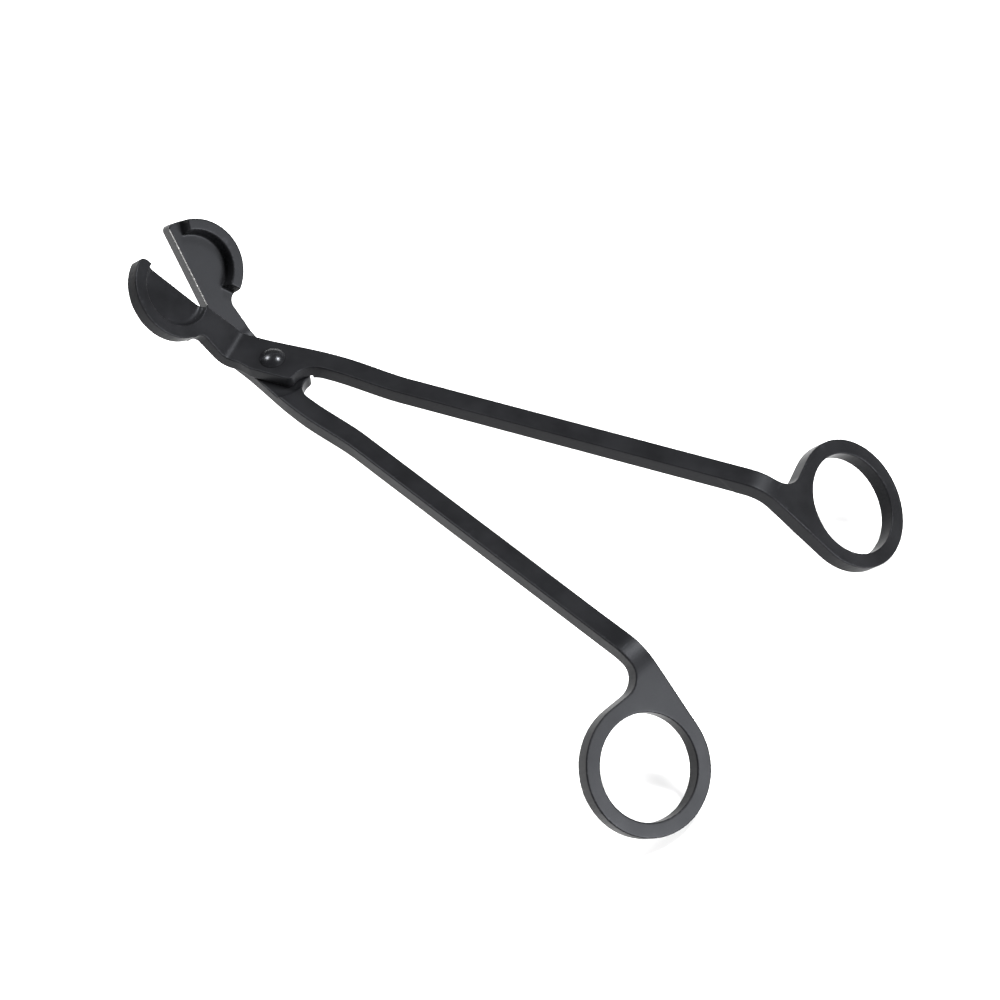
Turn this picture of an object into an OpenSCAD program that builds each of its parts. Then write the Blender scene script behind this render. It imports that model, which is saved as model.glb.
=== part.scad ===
// Wick trimmer: two crossing one-piece steel arms held by a domed rivet.
// Every arm carries a half-round tray blade, a flat lapped boss, a long
// square bar and a finger ring.  The tray and the ring are both bent out
// of the plane the arms swing in, so the tray lies flat while the bars
// reach down into a candle jar.
//
// Frame: millimetres, +Z along the rivet towards its domed head.
// The origin is in the middle of the bounding box's base: the rings' lowest
// points touch z = 0 and the rivet axis stands at x = -54.44, y = 0.
// +X runs from the rivet towards the finger rings, half-way between them.

/* [Opening] */
// angle between the two arms as drawn, 1 degree is shut
open_angle = 23.7; // [1:0.1:58]

/* [Bars] */
// thickness of bars and rings
arm_t = 4; // [3.6:0.05:4.4]
// thickness of the upper arm where it crosses the lower one
lap_t = 3.2; // [2.8:0.05:3.4]
// height of the lower bar's top face above the lap plane
lower_top = 0.6; // [0.4:0.05:0.9]
// width of the long bar
bar_w = 4.9; // [4:0.1:6]
// position of the bar's inner edge across the centre line
bar_in = -0.2; // [-0.3:0.05:1]
// sideways swell of the bar just behind the boss
jog = 1.3; // [0.6:0.1:1.6]
// gap between the two lap faces
lap_gap = 0.1; // [0.06:0.02:0.3]

/* [Boss] */
// boss edge on the side facing the other bar
boss_in = 4.8; // [4.4:0.1:5.2]
// boss edge on the outer side
boss_out = 5.1; // [4.8:0.1:5.6]
// radius kept clear of the other arm around the rivet
lap_r = 10; // [9.6:0.1:11]

/* [Tray bend] */
// distance from the rivet to the tray bend line
tray_bend_x = 11.7; // [10.5:0.1:14]
// angle the tray is bent up from the swing plane
tray_bend = 47.8; // [40:0.2:52]
// inside radius of the bend on the upper arm
tray_bend_r = 3; // [2:0.5:4]

/* [Tray] */
// distance from the rivet to the middle of the tray, along the sheet
tray_x = 32.75; // [31.5:0.05:34]
// sideways offset of the half disc centre towards the cut
tray_y = 0.6; // [0:0.1:1]
// outer radius of the tray
tray_r = 11.85; // [11:0.05:12.4]
// height of the lower arm's rim above its floor
rim_h = 3.3; // [2.5:0.1:3.5]
// width of the lower arm's rim at its top
rim_w = 2.7; // [2.2:0.05:3]
// amount by which the rim's walls lean inwards
rim_draft = 0.7; // [0.2:0.1:0.8]
// thickness of the upper blade round its hollow
upper_t = 3.6; // [3.4:0.1:4]
// radius of the hollow in the upper blade
hollow_r = 8.7; // [8:0.1:9.2]
// thickness of the upper blade inside the hollow
blade_t = 1.7; // [1.2:0.1:2.2]
// thickness of the lower blade under its floor
lower_t = 4.3; // [3.6:0.1:4.6]

/* [Finger ring] */
// distance from the rivet to the ring bend line
ring_bend_x = 123.6; // [110:0.2:135]
// angle the ring is bent down from the bar
ring_bend = 44; // [35:0.5:50]
// outside radius of the ring bend
ring_bend_r = 12; // [8:0.5:14]
// distance from the ring bend line to the ring centre
ring_reach = 22.1; // [20:0.1:24]
// outer radius of the ring
ring_r = 15.6; // [14.6:0.1:17]
// sideways distance from the bar's inner edge to the ring centre
ring_y = 15.3; // [14.6:0.1:16]
// radius of the finger hole
hole_r = 12.1; // [11:0.1:12.6]

/* [Rivet] */
// radius of the rivet shaft
pin_r = 2; // [1.6:0.1:2.4]
// radius of the domed head
head_r = 3.15; // [2.8:0.05:3.6]
// height of the domed head
head_h = 1.3; // [0.9:0.1:1.8]
// radius of the flattened tail
tail_r = 3; // [2.6:0.1:3.4]
// height of the flattened tail
tail_h = 0.7; // [0.5:0.1:1]
// running clearance between the shaft and the upper arm
run_gap = 0.05; // [0.02:0.01:0.1]

/* [Hidden] */
$fn = 96;
// small overlap or excess where two surfaces would only just touch
lap_in = 0.02;
half = open_angle / 2;
// shift that puts the origin in the middle of the base, at the rings' lowest points
base_shift = [-54.44, 0, 28.453];
bar_out = bar_in + bar_w;
// thickness of the lower arm where it crosses the upper one
low_lap_t = arm_t - lower_top;
// height of the tray bend axis above the lap plane
bend_z = lap_t + tray_bend_r;
// distance from the bend corner to the start and the end of the bend
bend_l = bend_z * tan(tray_bend / 2);
bend_x = -tray_bend_x + bend_l;
// straight stretch of neck next to the bend, and its end past the bend
lead_x = -tray_bend_x - bend_l - 0.5;
neck_end_x = lead_x + bend_z + 2 * tray_bend_r;
ring_l = ring_bend_r * tan(ring_bend / 2);
// neck edges through the tray bend
neck_in = 3.8;
neck_out = boss_out;
// concave corner behind each boss: distance from the rivet and radius
notch_up = [12.4, 5.35];
notch_low = [13.1, 4.6];
corner_r = 1.4;
// straight cut of each blade: offset at the disc centre and slope
cut_up = [2.2, 0.124];
cut_low = [1.45, 0.105];
cut_end = 8.6;
// rounding of the tip of each blade
tip_up = 1.9;
tip_low = 1.3;
disc_mid = [-tray_x, tray_y];
// concave corner between tray and neck
throat_r = 2.5;
throat_y = -neck_in + 0.3 - throat_r;
throat_x = sqrt(pow(tray_r + throat_r, 2) - pow(throat_y - tray_y, 2)) - tray_x;
// tip of the sheet, and the place where its thickness starts to taper
tip_x = -tray_x - tray_r - 1;
taper_x = -tray_x + 11;
// rim of the lower blade: start and end angle, corner rounding
rim_a0 = 202;
rim_a1 = 327;
// corner rounding at the foot of the upper blade's hollow
hollow_c = 1.6;
// concave corner between bar and ring
crook_r = 5.2;
ring_mid = [ring_bend_x + ring_reach, bar_in + ring_y];
ring_left = ring_mid[0] - ring_r;
// width of the side view's sheet, more than that of the ring and the tray
sheet_w = 5 * ring_r;
// place beside the rivet where the side view steps, inside the lap
step_x = -5;

function unit(v) = v / norm(v);

function arc(c, r, a0, a1, n) =
    [for (i = [0:n]) c + r * [cos(a0 + (a1 - a0) * i / n), sin(a0 + (a1 - a0) * i / n)]];

// smooth S-shaped run between two points, level at both ends
function ease(p, q, n) =
    [for (i = [0:n]) let (s = i / n)
        [p[0] + (q[0] - p[0]) * s, p[1] + (q[1] - p[1]) * s * s * (3 - 2 * s)]];

// centre of the circle that rounds a blade's tip with radius r
function tip_mid(cut, r) =
    let (
        out = unit([-cut[1], 1]),
        along = [out[1], -out[0]],
        rise = (cut[0] - tray_y) * out[1] - r
    )
    disc_mid + rise * out - sqrt(pow(tray_r - r, 2) - rise * rise) * along;

// point of the side view: u along the tray's sheet, h above the tray's plane
function tray_pt(u, h) = [
    -tray_bend_x + (u + tray_bend_x) * cos(tray_bend) + h * sin(tray_bend),
    h * cos(tray_bend) - (u + tray_bend_x) * sin(tray_bend)
];

// tray bend in the side view, from the bar to the tray
function tray_arc(r) = [for (i = [0:12]) let (a = tray_bend * i / 12)
    [bend_x - r * sin(a), bend_z - r * cos(a)]];

// ring and its bend in the side view, from the bar on; r is the bend's radius
function ring_run(z, r) = concat(
    [for (i = [0:12]) let (a = ring_bend * i / 12)
        [ring_bend_x - ring_l + r * sin(a), z - ring_bend_r + r * cos(a)]],
    [[
        ring_bend_x + 3 * ring_reach * cos(ring_bend) - (ring_bend_r - r) * sin(ring_bend),
        z - 3 * ring_reach * sin(ring_bend) - (ring_bend_r - r) * cos(ring_bend)
    ]]
);

// the same points in the opposite order
function turned(list) = [for (i = [len(list) - 1:-1:0]) list[i]];

// move a flat piece onto the plane of the tray
module in_tray() {
    translate([-tray_bend_x, 0, 0])
        rotate([0, tray_bend, 0])
            translate([tray_bend_x, 0, 0])
                children();
}

// move a flat piece onto the plane of the ring, its top face at height z
module in_ring(z) {
    translate([ring_bend_x, 0, z])
        rotate([0, ring_bend, 0])
            translate([-ring_bend_x, 0, 0])
                children();
}

// side view of the upper arm's bent sheet, drawn in the XZ plane
module upper_sheet() {
    gap = lap_gap / 2;
    rotate([90, 0, 0])
        linear_extrude(sheet_w, center = true)
            polygon(concat(
                [tray_pt(tip_x, gap), tray_pt(tip_x, upper_t)],
                [tray_pt(taper_x, upper_t), tray_pt(lead_x, lap_t)],
                turned(tray_arc(tray_bend_r)),
                ring_run(lap_t, ring_bend_r),
                turned(ring_run(lap_t, ring_bend_r - arm_t)),
                [[step_x, lap_t - arm_t], [step_x, gap]],
                tray_arc(bend_z - gap)
            ));
}

// side view of the lower arm's bent sheet, drawn in the XZ plane
module lower_sheet() {
    gap = lap_gap / 2;
    rotate([90, 0, 0])
        linear_extrude(sheet_w, center = true)
            polygon(concat(
                [tray_pt(tip_x, -lower_t), tray_pt(tip_x, -gap)],
                turned(tray_arc(bend_z + gap)),
                [[step_x, -gap], [step_x, lower_top]],
                ring_run(lower_top, ring_bend_r),
                turned(ring_run(lower_top, ring_bend_r - arm_t)),
                tray_arc(bend_z + low_lap_t),
                [tray_pt(lead_x, -low_lap_t), tray_pt(taper_x, -lower_t)]
            ));
}

// plan of boss and bar, from the tray bend to the ring bend
module bar_plan(notch) {
    level = bar_in + jog - 0.1;
    mid = [notch[0], level - notch[1]];
    corner_y = corner_r - boss_in;
    corner = [mid[0] - sqrt(pow(notch[1] + corner_r, 2) - pow(corner_y - mid[1], 2)), corner_y];
    turn = atan2(corner[1] - mid[1], corner[0] - mid[0]);
    end_x = ring_bend_x - ring_l + 0.3;
    polygon(concat(
        [[bend_x - 0.3, -neck_in]],
        ease([bend_x + 1, -neck_in], [-3, -boss_in], 6),
        arc(corner, corner_r, -90, turn - 180, 8),
        arc(mid, notch[1], turn, 90, 16),
        ease([14, level], [33, bar_in], 16),
        [[end_x, bar_in]],
        [[end_x, bar_out]],
        ease([34, bar_out], [15, bar_out + jog], 16),
        ease([13, bar_out + jog], [-6, boss_out], 10),
        [[bend_x - 0.3, neck_out]]
    ));
}

// corner piece that rounds a blade's tip when it is taken away
module tip_waste(cut, tip) {
    out = unit([-cut[1], 1]);
    mid = tip_mid(cut, tip);
    away = unit(mid - disc_mid);
    difference() {
        polygon([mid, mid + 3 * tip * out, mid + 3 * tip * (out + away), mid + 3 * tip * away]);
        translate(mid)
            circle(tip + lap_in);
    }
}

// half disc with its straight cut, neck and concave throat
module blade_plan(cut, tip) {
    difference() {
        union() {
            translate(disc_mid)
                circle(tray_r);
            polygon([
                [-tray_x, tray_y - tray_r / 2],
                [throat_x, throat_y],
                [throat_x, -neck_in + 0.3],
                [lead_x, -neck_in],
                [neck_end_x, -neck_in],
                [neck_end_x, neck_out + 2],
                [-tray_x, neck_out + 2]
            ]);
        }
        polygon([
            [tip_x, cut[0] - cut[1] * (tray_r + 1)],
            [-tray_x + cut_end, cut[0] + cut[1] * cut_end],
            [lead_x, neck_out],
            [neck_end_x + 1, neck_out],
            [neck_end_x + 1, 2 * tray_r],
            [tip_x, 2 * tray_r]
        ]);
        translate([throat_x, throat_y])
            circle(throat_r);
        tip_waste(cut, tip);
    }
}

// plan of the ring with its tail and the concave crook beside the tail
module ring_plan() {
    tail_x = ring_bend_x - ring_bend_r;
    translate(ring_mid)
        circle(ring_r);
    polygon([
        [tail_x, bar_in],
        [ring_mid[0], ring_mid[1] - ring_r],
        ring_mid,
        [ring_left, ring_mid[1]],
        [ring_left, bar_out],
        [tail_x, bar_out]
    ]);
    difference() {
        translate([ring_left - crook_r, bar_out - lap_in])
            square(crook_r + lap_in);
        translate([ring_left - crook_r, bar_out + crook_r])
            circle(crook_r);
    }
}

// outline of a whole arm, as three prisms square to the tray, the bar and the ring
module outline(cut, tip, notch, z) {
    in_tray()
        translate([0, 0, -2 * tray_r])
            linear_extrude(4 * tray_r)
                blade_plan(cut, tip);
    translate([0, 0, -2 * arm_t])
        linear_extrude(4 * arm_t)
            bar_plan(notch);
    in_ring(z)
        translate([0, 0, -2 * arm_t])
            linear_extrude(4 * arm_t)
                ring_plan();
}

// finger hole of the arm whose bar has its top face at height z
module finger_hole(z) {
    in_ring(z)
        translate([ring_mid[0], ring_mid[1], -arm_t - 1])
            cylinder(r = hole_r, h = arm_t + 2);
}

// space for the other arm around the rivet, on one side of the lap plane
module lap_space(z0) {
    translate([0, 0, z0])
        cylinder(r = lap_r, h = arm_t);
}

// solid of revolution that the lower arm's floor sweeps under the upper arm
module swing_space() {
    top = lap_gap / 2;
    reach = 40;
    end_x = tray_bend_x + bend_l * cos(tray_bend);
    end_z = bend_l * sin(tray_bend);
    rotate([0, 0, 90])
        rotate_extrude(angle = 90)
            polygon(concat(
                [[0, -5], [0, top]],
                [for (i = [0:8]) let (a = tray_bend * i / 8)
                    [-bend_x + bend_z * sin(a), bend_z * (1 - cos(a)) + top]],
                [[end_x + reach, end_z + reach * tan(tray_bend) + top]],
                [[end_x + reach, -5]]
            ));
}

// hollow in the top face of the upper blade
module hollow() {
    in_tray()
        translate([-tray_x, tray_y, blade_t])
            rotate_extrude() {
                square([hollow_r - hollow_c, upper_t]);
                translate([0, hollow_c])
                    square([hollow_r, upper_t]);
                translate([hollow_r - hollow_c, hollow_c])
                    circle(hollow_c);
            }
}

// rim round the back of the lower blade, reaching past the outline
module rim() {
    lean = rim_draft / rim_h;
    r_in = tray_r - rim_w;
    in_tray()
        translate([-tray_x, tray_y, 0])
            difference() {
                translate([0, 0, -1])
                    cylinder(r = tray_r + 2, h = rim_h + 1);
                translate([0, 0, -2])
                    cylinder(r1 = r_in - lean * (rim_h + 2), r2 = r_in + lean, h = rim_h + 3);
                for (end = [[rim_a0, -1], [rim_a1, 1]])
                    rotate([0, 0, end[0]])
                        translate([0, 0, rim_h])
                            rotate([end[1] * atan(lean), 0, 0])
                                translate([-30, end[1] < 0 ? -30 : 0, -9])
                                    cube([60, 30, 12]);
            }
}

module upper_arm() {
    color("#2b2c2f")
        translate(base_shift)
            rotate([0, 0, half])
                difference() {
                    intersection() {
                        upper_sheet();
                        outline(cut_up, tip_up, notch_up, lap_t);
                    }
                    lap_space(lap_gap / 2 - arm_t);
                    swing_space();
                    hollow();
                    finger_hole(lap_t);
                    translate([0, 0, -arm_t])
                        cylinder(r = pin_r + run_gap, h = 3 * arm_t);
                }
}

module lower_arm() {
    color("#303134")
        translate(base_shift)
            rotate([0, 0, -half])
                mirror([0, 1, 0])
                    difference() {
                        intersection() {
                            union() {
                                lower_sheet();
                                rim();
                            }
                            outline(cut_low, tip_low, notch_low, lower_top);
                        }
                        lap_space(-lap_gap / 2);
                        finger_hole(lower_top);
                        translate([0, 0, -2 * arm_t])
                            cylinder(r = pin_r, h = 3 * arm_t);
                    }
}

// domed cap: a slice of a sphere of the given base radius and height
module dome(r, h) {
    ball = (r * r + h * h) / (2 * h);
    intersection() {
        translate([0, 0, h - ball])
            sphere(ball);
        cylinder(r = r + 1, h = h + 1);
    }
}

module rivet() {
    head_gap = 0.1;
    color("#3a3b3f")
        translate(base_shift) {
            translate([0, 0, -low_lap_t - lap_in])
                cylinder(r = pin_r, h = low_lap_t + lap_t + head_gap + 2 * lap_in);
            translate([0, 0, lap_t + head_gap])
                dome(head_r, head_h);
            translate([0, 0, -low_lap_t])
                mirror([0, 0, 1])
                    cylinder(r1 = tail_r, r2 = tail_r - 0.5, h = tail_h);
        }
}

upper_arm();
lower_arm();
rivet();
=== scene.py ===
"""Looks of a black steel wick trimmer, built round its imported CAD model. Metres, +Z up."""

import math

import bpy
import numpy as np
from mathutils import Matrix, Vector


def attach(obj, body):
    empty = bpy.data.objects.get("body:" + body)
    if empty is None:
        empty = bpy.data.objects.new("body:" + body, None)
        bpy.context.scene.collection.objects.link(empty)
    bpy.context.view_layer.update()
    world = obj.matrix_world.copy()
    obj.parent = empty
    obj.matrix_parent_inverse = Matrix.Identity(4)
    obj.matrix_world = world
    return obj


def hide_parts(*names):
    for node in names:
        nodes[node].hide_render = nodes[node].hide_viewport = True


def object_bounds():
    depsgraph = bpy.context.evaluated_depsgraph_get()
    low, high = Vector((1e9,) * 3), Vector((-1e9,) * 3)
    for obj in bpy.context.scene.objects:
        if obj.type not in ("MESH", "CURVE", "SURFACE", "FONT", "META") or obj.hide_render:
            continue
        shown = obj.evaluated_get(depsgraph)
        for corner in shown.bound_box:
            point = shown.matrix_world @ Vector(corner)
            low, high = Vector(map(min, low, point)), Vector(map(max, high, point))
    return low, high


MM = 0.001

# camera: a long lens at the product view, fitted to the arms' outlines
RIVET = Vector((-0.05444, 0, 0.028453))
CAMERA_PLACE = RIVET + Vector((0.42106, -0.44765, 0.64890))
CAMERA_AIM = RIVET + Vector((0.06947, -0.00646, 0.0))
CAMERA_ROLL = math.radians(-5.549)
CAMERA_LENS = 135.49
SENSOR = 36.0

# shape of the arms, as in the CAD source
OPEN_ANGLE = math.radians(23.7)
TRAY_BEND_X = 11.7 * MM
TRAY_BEND = math.radians(47.8)
TRAY_X = 32.75 * MM
TRAY_R = 11.85 * MM
LAP_GAP = 0.1 * MM
# each blade's straight cut: its offset at the tray's middle, and its slope
CUT_UP = (2.2 * MM, 0.124)
CUT_LOW = (1.45 * MM, 0.105)
# where the cutting edge stops, past the tray's middle
CUT_END = 8.9 * MM

# rounding of the edges: a fine grid, smoothed except close to the cutting edge
VOXEL = 0.15 * MM
WELD = 0.001 * MM
SMOOTH_STEP = 0.5
SMOOTH_ROUNDS = 7
KEEN_REACH = 0.5 * MM
KEPT_FACES = 0.27

# powder coat: tone of the paint, and the size of what is seen in it
BLACK = (0.0045, 0.0046, 0.0052)
PEEL = 0.55 * MM
GRAIN = 0.13 * MM
CLOUD = 9 * MM
BUMP = 0.03 * MM
# tint of its reflections
GLANCE = (0.90, 0.93, 1, 1)
# how much of the grain shows as pale specks, and how much lighter the edges are painted,
# partly as wear and partly as a painted edge highlight
SPECKS = (0.66, 0.74)
WORN_AND_HIGHLIT = (0.53, 0.60)

# line of bare metal along each cutting edge
BARE_WIDTH = 0.18 * MM
BARE_METAL = (0.62, 0.61, 0.6)

# studio: name, direction from the tool, width and height, watts and distance
LIGHTS = (
    ("left_top", (-0.62, 0.02, 0.78), (0.2, 0.2), 9, 0.9),
    ("right_top", (0.22, 0.46, 0.86), (0.15, 0.15), 13, 0.9),
    ("right_front", (0.95, 0.04, 0.34), (0.8, 0.5), 62, 1.6),
)
SKY = 0.28
FLOOR_R = 6
FLOOR_CLOUD = 0.3
FLOOR_TONES = ((0.86, 0.86, 0.86), (0.89, 0.89, 0.89))


def arm_space(mirrored):
    """Matrix from one arm's own axes, with its bar along +X, to the model's."""
    there = Matrix.Translation(RIVET)
    if mirrored:
        flip = Matrix.Scale(-1, 4, (0, 1, 0))
        return there @ Matrix.Rotation(-OPEN_ANGLE / 2, 4, "Z") @ flip
    return there @ Matrix.Rotation(OPEN_ANGLE / 2, 4, "Z")


def tray_space(mirrored):
    """Matrix from the flat plane of a blade to the model's axes."""
    bend = Matrix.Rotation(TRAY_BEND, 4, "Y")
    there = Matrix.Translation((-TRAY_BEND_X, 0, 0))
    back = Matrix.Translation((TRAY_BEND_X, 0, 0))
    return arm_space(mirrored) @ there @ bend @ back


def cut_line(cut, mirrored, height):
    """The two ends of a blade's cutting edge, in the model's axes."""
    space = tray_space(mirrored)
    ends = []
    for run in (-TRAY_R, CUT_END):
        ends.append(space @ Vector((run - TRAY_X, cut[0] + cut[1] * run, height)))
    return ends


def freedom(points, edge):
    """How freely each point may be smoothed: 1 far from the cutting edge, 0 on it."""
    start = np.array(edge[0])
    along = np.array(edge[1]) - start
    share = np.clip((points - start) @ along / (along @ along), 0, 1)
    off = np.linalg.norm(points - start - share[:, None] * along, axis=1)
    return np.clip(off / KEEN_REACH, 0, 1)


def finished(piece):
    """The mesh that a piece's modifiers make."""
    depsgraph = bpy.context.evaluated_depsgraph_get()
    mesh = bpy.data.meshes.new_from_object(piece.evaluated_get(depsgraph))
    piece.modifiers.clear()
    return mesh


def relax(mesh, edge):
    """Rounds a dense mesh's edges by moving each point towards its neighbours' mean."""
    points = np.zeros(len(mesh.vertices) * 3)
    mesh.vertices.foreach_get("co", points)
    points = points.reshape(-1, 3)
    edges = np.zeros(len(mesh.edges) * 2, np.int32)
    mesh.edges.foreach_get("vertices", edges)
    a, b = edges.reshape(-1, 2).T
    count = np.bincount(np.concatenate((a, b)), minlength=len(points))[:, None]
    step = freedom(points, edge)[:, None] * SMOOTH_STEP
    for _ in range(SMOOTH_ROUNDS):
        total = np.zeros_like(points)
        for axis in range(3):
            total[:, axis] = np.bincount(a, points[b, axis], len(points))
            total[:, axis] += np.bincount(b, points[a, axis], len(points))
        points += step * (total / count - points)
    mesh.vertices.foreach_set("co", points.ravel())
    mesh.update()


def rounded_copy(node, name, body, edge):
    """A copy of a CAD arm with softly rounded edges, which takes its place."""
    piece = bpy.data.objects.new(name, node.data.copy())
    bpy.context.scene.collection.objects.link(piece)
    weld = piece.modifiers.new("weld", "WELD")
    weld.merge_threshold = WELD
    grid = piece.modifiers.new("grid", "REMESH")
    grid.mode = "VOXEL"
    grid.voxel_size = VOXEL
    piece.data = finished(piece)
    relax(piece.data, edge)
    thin = piece.modifiers.new("thin", "DECIMATE")
    thin.ratio = KEPT_FACES
    piece.data = finished(piece)
    piece.data.materials.clear()
    piece.data.shade_smooth()
    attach(piece, body)
    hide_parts(node.name)
    return piece


class Nodes:
    """Short way to add shader nodes to a material and join them."""

    def __init__(self, name):
        self.material = bpy.data.materials.new(name)
        self.material.use_nodes = True
        self.tree = self.material.node_tree
        self.shader = self.tree.nodes["Principled BSDF"]

    def add(self, kind, links=(), **values):
        node = self.tree.nodes.new(kind)
        for key, value in values.items():
            if hasattr(node, key):
                setattr(node, key, value)
            else:
                node.inputs[key].default_value = value
        for socket, source in dict(links).items():
            self.tree.links.new(source, node.inputs[socket])
        return node

    def link(self, source, socket):
        self.tree.links.new(source, self.shader.inputs[socket])

    def noise(self, place, size, detail):
        """Noise whose grains are about size across, in metres."""
        return self.add(
            "ShaderNodeTexNoise",
            {"Vector": place},
            Scale=1 / size,
            Detail=detail,
            Roughness=0.55,
        ).outputs["Fac"]

    def remap(self, source, low, high, to_low, to_high):
        node = self.add("ShaderNodeMapRange", {"Value": source})
        node.inputs["From Min"].default_value = low
        node.inputs["From Max"].default_value = high
        node.inputs["To Min"].default_value = to_low
        node.inputs["To Max"].default_value = to_high
        return node.outputs["Result"]

    def math(self, operation, *values):
        node = self.add("ShaderNodeMath", operation=operation)
        for i, value in enumerate(values):
            if isinstance(value, (int, float)):
                node.inputs[i].default_value = value
            else:
                self.tree.links.new(value, node.inputs[i])
        return node.outputs[0]

    def vector(self, operation, a, b=None):
        node = self.add("ShaderNodeVectorMath", operation=operation)
        for i, value in enumerate((a, b)):
            if isinstance(value, Vector):
                node.inputs[i].default_value = value
            elif value is not None:
                self.tree.links.new(value, node.inputs[i])
        return node.outputs["Value" if operation in ("DOT_PRODUCT", "LENGTH") else 0]

    def mix(self, share, a, b):
        """Colour between a and b, each a socket or a tuple."""
        node = self.add("ShaderNodeMix", {"Factor": share}, data_type="RGBA")
        for name, value in (("A", a), ("B", b)):
            socket = [s for s in node.inputs if s.name == name and s.type == "RGBA"][0]
            if isinstance(value, tuple):
                socket.default_value = (*value, 1)
            else:
                self.tree.links.new(value, socket)
        return [s for s in node.outputs if s.type == "RGBA"][0]


def line_mask(n, place, start, end, width):
    """1 within width of a line between two points and 0 further off."""
    along = (end - start).normalized()
    from_start = n.vector("SUBTRACT", place, start)
    off = n.vector("LENGTH", n.vector("CROSS_PRODUCT", from_start, along))
    run = n.vector("DOT_PRODUCT", from_start, along)
    near = n.remap(off, width * 0.7, width, 1, 0)
    begun = n.math("GREATER_THAN", run, 0)
    ended = n.math("LESS_THAN", run, (end - start).length)
    return n.math("MULTIPLY", near, n.math("MULTIPLY", begun, ended))


def shade(tone, times):
    """A tone made lighter or darker."""
    return tuple(part * times for part in tone)


def powder_coat(name, tone, gloss=0.40, shine=0.1, bare=None):
    """Satin black powder coat: fine orange peel, faint mottling, edges painted lighter as
    wear and as a painted edge highlight.
    """
    n = Nodes(name)
    place = n.add("ShaderNodeTexCoord").outputs["Object"]
    peel = n.noise(place, PEEL, 2)
    grain = n.noise(place, GRAIN, 2)
    cloud = n.noise(place, CLOUD, 4)
    colour = n.mix(n.remap(cloud, 0.35, 0.65, 0, 1), shade(tone, 0.8), shade(tone, 1.25))
    speck = n.remap(grain, *SPECKS, 0, 0.35)
    colour = n.mix(speck, colour, shade(tone, 2.6))
    # edges painted lighter where the mesh is pointy: partly wear, partly a painted edge
    # highlight
    edge = n.add("ShaderNodeNewGeometry").outputs["Pointiness"]
    worn_and_highlit = n.remap(edge, *WORN_AND_HIGHLIT, 0, 0.5)
    patchy = n.remap(peel, 0.4, 0.6, 0.3, 1)
    rubbed_and_highlit = n.math("MULTIPLY", worn_and_highlit, patchy)
    colour = n.mix(rubbed_and_highlit, colour, shade(tone, 3.5))
    rough = n.remap(cloud, 0.3, 0.7, gloss - 0.04, gloss + 0.05)
    if bare:
        metal = line_mask(n, place, *bare, BARE_WIDTH)
        colour = n.mix(metal, colour, BARE_METAL)
        rough = n.math("SUBTRACT", rough, n.math("MULTIPLY", metal, 0.12))
        n.link(metal, "Metallic")
    n.link(colour, "Base Color")
    n.link(rough, "Roughness")
    height = n.math("ADD", n.math("MULTIPLY", peel, 0.7), n.math("MULTIPLY", grain, 0.3))
    bump = n.add("ShaderNodeBump", {"Height": height}, Strength=0.22, Distance=BUMP)
    n.link(bump.outputs["Normal"], "Normal")
    n.shader.inputs["Specular IOR Level"].default_value = shine
    n.shader.inputs["Specular Tint"].default_value = GLANCE
    return n.material


def make_light(name, direction, size, power, far):
    """A rectangular soft light, aimed at the middle of the tool."""
    data = bpy.data.lights.new(name, "AREA")
    data.shape = "RECTANGLE"
    data.size, data.size_y = size
    data.energy = power
    lamp = bpy.data.objects.new(name, data)
    bpy.context.scene.collection.objects.link(lamp)
    out = Vector(direction).normalized()
    lamp.location = CAMERA_AIM + out * far
    lamp.rotation_euler = out.to_track_quat("Z", "Y").to_euler()


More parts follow.
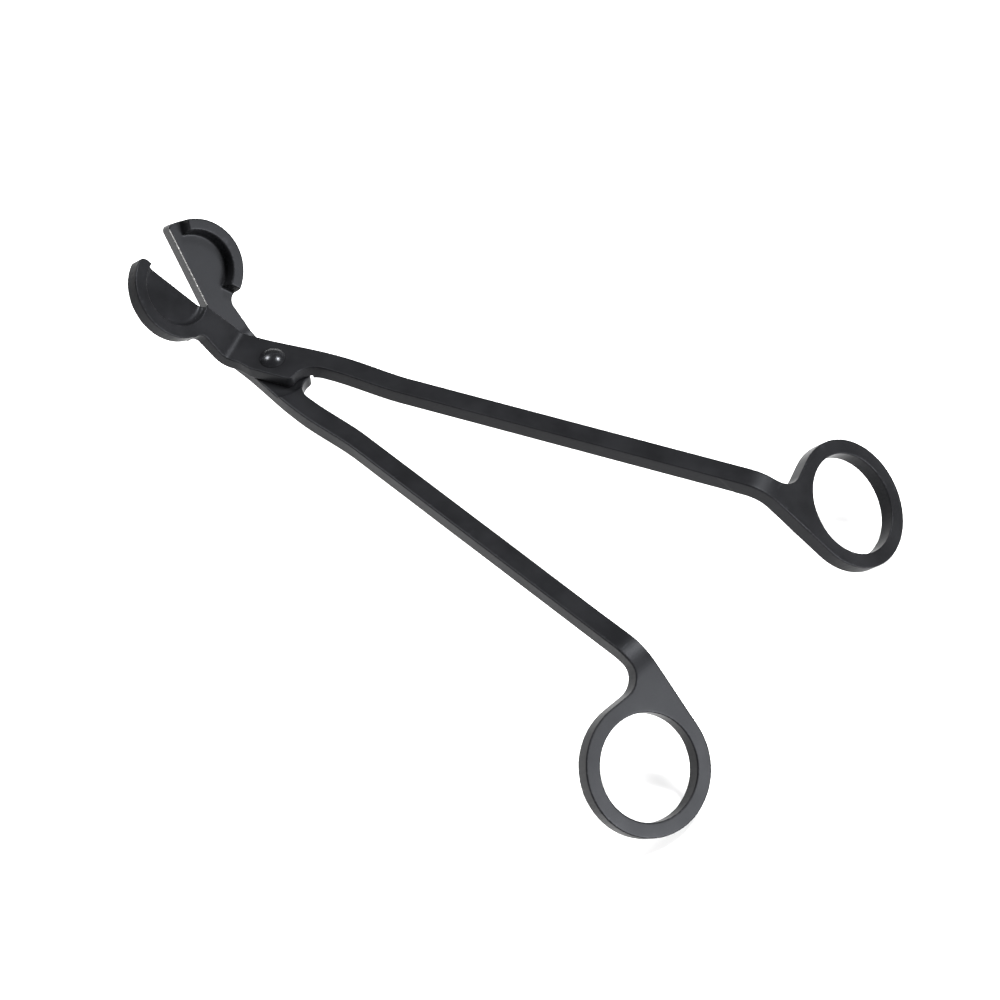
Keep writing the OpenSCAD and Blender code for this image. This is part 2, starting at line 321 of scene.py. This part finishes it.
def make_camera():
    data = bpy.data.cameras.new("camera")
    data.lens = CAMERA_LENS
    data.sensor_width = SENSOR
    data.clip_start, data.clip_end = 0.05, 50
    camera = bpy.data.objects.new("camera", data)
    bpy.context.scene.collection.objects.link(camera)
    back = (CAMERA_PLACE - CAMERA_AIM).normalized()
    right = Vector((0, 0, 1)).cross(back).normalized()
    up = back.cross(right)
    level = Matrix((right, up, back)).transposed()
    camera.matrix_world = (
        Matrix.Translation(CAMERA_PLACE)
        @ level.to_4x4()
        @ Matrix.Rotation(CAMERA_ROLL, 4, "Z")
    )
    bpy.context.scene.camera = camera


def make_floor(height):
    bpy.ops.mesh.primitive_circle_add(vertices=64, radius=FLOOR_R, fill_type="NGON")
    floor = bpy.context.object
    floor.name = "floor"
    floor.location = (0, 0, height)
    n = Nodes("floor_paint")
    place = n.add("ShaderNodeTexCoord").outputs["Object"]
    cloud = n.noise(place, FLOOR_CLOUD, 2)
    n.link(n.mix(cloud, *FLOOR_TONES), "Base Color")
    n.shader.inputs["Roughness"].default_value = 0.9
    n.shader.inputs["Specular IOR Level"].default_value = 0.1
    floor.data.materials.append(n.material)


def make_world():
    world = bpy.data.worlds.new("studio")
    bpy.context.scene.world = world
    world.use_nodes = True
    sky = world.node_tree.nodes["Background"]
    sky.inputs["Color"].default_value = (1, 1, 1, 1)
    sky.inputs["Strength"].default_value = SKY


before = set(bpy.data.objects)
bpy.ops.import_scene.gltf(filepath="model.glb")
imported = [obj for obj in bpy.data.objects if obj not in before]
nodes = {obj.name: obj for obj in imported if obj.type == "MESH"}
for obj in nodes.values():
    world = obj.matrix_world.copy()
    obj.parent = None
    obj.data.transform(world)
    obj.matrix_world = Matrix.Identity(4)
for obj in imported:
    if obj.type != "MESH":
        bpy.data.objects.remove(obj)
cad_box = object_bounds()

upper_edge = cut_line(CUT_UP, False, LAP_GAP / 2)
upper = rounded_copy(nodes["upper_arm"], "upper_arm_coated", "upper_half", upper_edge)
upper.data.materials.append(powder_coat("coat_upper", BLACK, bare=upper_edge))

lower_edge = cut_line(CUT_LOW, True, -LAP_GAP / 2)
lower = rounded_copy(nodes["lower_arm"], "lower_arm_coated", "lower_half", lower_edge)
lower.data.materials.append(powder_coat("coat_lower", BLACK, bare=lower_edge))

rivet = nodes["rivet"]
rivet.data.materials.clear()
rivet.data.materials.append(powder_coat("coat_rivet", BLACK, gloss=0.26, shine=0.2))

make_camera()
make_world()
make_floor(cad_box[0].z)
for light in LIGHTS:
    make_light(*light)
bpy.context.scene.view_settings.view_transform = "Standard"
